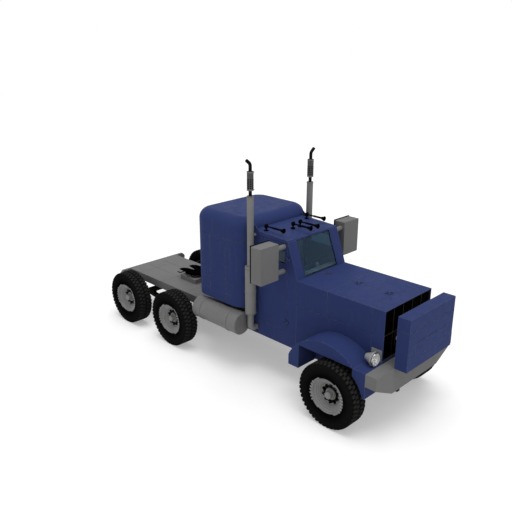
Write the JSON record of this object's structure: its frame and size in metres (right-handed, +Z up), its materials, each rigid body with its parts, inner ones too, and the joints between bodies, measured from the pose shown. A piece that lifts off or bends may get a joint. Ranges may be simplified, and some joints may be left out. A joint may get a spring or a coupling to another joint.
{
  "type": "semi truck tractor unit",
  "caption": "Conventional tractor unit with long square hood, sleeper, twin exhaust stacks, single wheels on a steered axle and a tandem, and a tilting fifth wheel.",
  "frame": {"origin": "bottom centre of the truck's bounding box, on the ground", "axes": "+Z up, front of the truck towards -Y, +X towards the truck's left"},
  "size_m": [2.644, 7.309, 4.0148],
  "materials": {
    "blue_paint": "gloss",
    "grey_paint": "satin",
    "frame_black": "satin",
    "tyre": "matte",
    "rim": "satin",
    "chrome": "polished",
    "steel": "satin",
    "iron": "matte",
    "glass": "clear",
    "plastic": "matte",
    "black_plastic": "matte",
    "fabric": "woven",
    "red_lens": "gloss"
  },
  "bodies": {
    "chassis": {"front_axle": "iron", "drive_axles": "iron", "suspension": "iron", "chassis_frame": "frame_black", "deck": "grey_paint", "tail_bar": "grey_paint", "tail_lamps": "red_lens", "tow_eyes": "frame_black", "engine": "iron", "bumper": "grey_paint", "front_box": "blue_paint", "box_bars": "grey_paint", "grille_shell": "blue_paint", "grille": "black_plastic", "hood_spine": "blue_paint", "side_panels": "blue_paint", "fenders": "blue_paint", "headlamps": "chrome", "cab_shell": "blue_paint", "cab_roof": "blue_paint", "windscreen": "glass", "dashboard": "plastic", "pedals": "black_plastic", "seats": "fabric", "sleeper": "blue_paint", "bunk": "fabric", "fuel_tanks": "steel", "tank_brackets": "frame_black", "exhaust_stacks": "steel", "air_horns": "black_plastic"},
    "fifth_wheel": {"fifth_wheel_plate": "iron"},
    "hood_left_body": {"hood_left": "blue_paint"},
    "hood_right_body": {"hood_right": "blue_paint"},
    "box_cover": {"box_lid": "blue_paint"},
    "steering_wheel_body": {"steering_wheel": "black_plastic"},
    "tie_rod_body": {"tie_rod": "iron"},
    "door_left_body": {"door_left": "blue_paint", "door_glass_left": "glass", "mirror_left": "grey_paint"},
    "knuckle_left_body": {"knuckle_left": "iron"},
    "door_right_body": {"door_right": "blue_paint", "door_glass_right": "glass", "mirror_right": "grey_paint"},
    "knuckle_right_body": {"knuckle_right": "iron"},
    "wheel_front_left": {"tyre_front_left": "tyre", "rim_front_left": "rim"},
    "wheel_front_right": {"tyre_front_right": "tyre", "rim_front_right": "rim"},
    "wheel_mid_left": {"tyre_mid_left": "tyre", "rim_mid_left": "rim"},
    "wheel_mid_right": {"tyre_mid_right": "tyre", "rim_mid_right": "rim"},
    "wheel_rear_left": {"tyre_rear_left": "tyre", "rim_rear_left": "rim"},
    "wheel_rear_right": {"tyre_rear_right": "tyre", "rim_rear_right": "rim"}
  },
  "joints": [
    {"name": "door_left_hinge", "type": "hinge", "parent": "chassis", "child": "door_left_body", "pos_m": [0.677, -1.2245, 1.7625], "axis": [0, 0, -1], "range_deg": [0, 60]},
    {"name": "door_right_hinge", "type": "hinge", "parent": "chassis", "child": "door_right_body", "pos_m": [-0.677, -1.2245, 1.7625], "axis": [0, 0, 1], "range_deg": [0, 60]},
    {"name": "steer_left", "type": "hinge", "parent": "chassis", "child": "knuckle_left_body", "pos_m": [0.95, -2.6025, 0.5625], "axis": [0, 0, 1], "range_deg": [-30, 30]},
    {"name": "steer_right", "type": "hinge", "parent": "chassis", "child": "knuckle_right_body", "pos_m": [-0.95, -2.6025, 0.5625], "axis": [0, 0, 1], "range_deg": [-30, 30]},
    {"name": "tie_rod_pin", "type": "hinge", "parent": "knuckle_left_body", "child": "tie_rod_body", "pos_m": [0.95, -2.4125, 0.4495], "axis": [0, 0, 1], "range_deg": [-30, 30]},
    {"name": "steering_wheel_turn", "type": "hinge", "parent": "chassis", "child": "steering_wheel_body", "pos_m": [0.3, -1.0425, 2.0625], "axis": [0, 0.5736, 0.8192], "range_deg": [-540, 540]},
    {"name": "wheel_front_left_spin", "type": "hinge", "parent": "knuckle_left_body", "child": "wheel_front_left", "pos_m": [1.093, -2.6025, 0.5625], "axis": [1, 0, 0], "continuous": true},
    {"name": "wheel_front_right_spin", "type": "hinge", "parent": "knuckle_right_body", "child": "wheel_front_right", "pos_m": [-1.093, -2.6025, 0.5625], "axis": [1, 0, 0], "continuous": true},
    {"name": "wheel_mid_left_spin", "type": "hinge", "parent": "chassis", "child": "wheel_mid_left", "pos_m": [1.093, 1.4505, 0.5625], "axis": [1, 0, 0], "continuous": true},
    {"name": "wheel_mid_right_spin", "type": "hinge", "parent": "chassis", "child": "wheel_mid_right", "pos_m": [-1.093, 1.4505, 0.5625], "axis": [1, 0, 0], "continuous": true},
    {"name": "wheel_rear_left_spin", "type": "hinge", "parent": "chassis", "child": "wheel_rear_left", "pos_m": [1.093, 2.9775, 0.5625], "axis": [1, 0, 0], "continuous": true},
    {"name": "wheel_rear_right_spin", "type": "hinge", "parent": "chassis", "child": "wheel_rear_right", "pos_m": [-1.093, 2.9775, 0.5625], "axis": [1, 0, 0], "continuous": true},
    {"name": "hood_left_hinge", "type": "hinge", "parent": "chassis", "child": "hood_left_body", "pos_m": [0.028, -2.2385, 2.057], "axis": [0, -1, 0], "range_deg": [0, 45]},
    {"name": "hood_right_hinge", "type": "hinge", "parent": "chassis", "child": "hood_right_body", "pos_m": [-0.028, -2.2385, 2.057], "axis": [0, 1, 0], "range_deg": [0, 45]},
    {"name": "box_lid_hinge", "type": "hinge", "parent": "chassis", "child": "box_cover", "pos_m": [0, -3.4275, 1.823], "axis": [-1, 0, 0], "range_deg": [0, 60]},
    {"name": "fifth_wheel_tilt", "type": "hinge", "parent": "chassis", "child": "fifth_wheel", "pos_m": [0, 2.0275, 1.0775], "axis": [1, 0, 0], "range_deg": [-12, 12]}
  ],
  "couplings": [
    {"joint": "steer_right", "follows": "steer_left", "ratio": 1},
    {"joint": "tie_rod_pin", "follows": "steer_left", "ratio": -1},
    {"joint": "steering_wheel_turn", "follows": "steer_left", "ratio": 18}
  ]
}
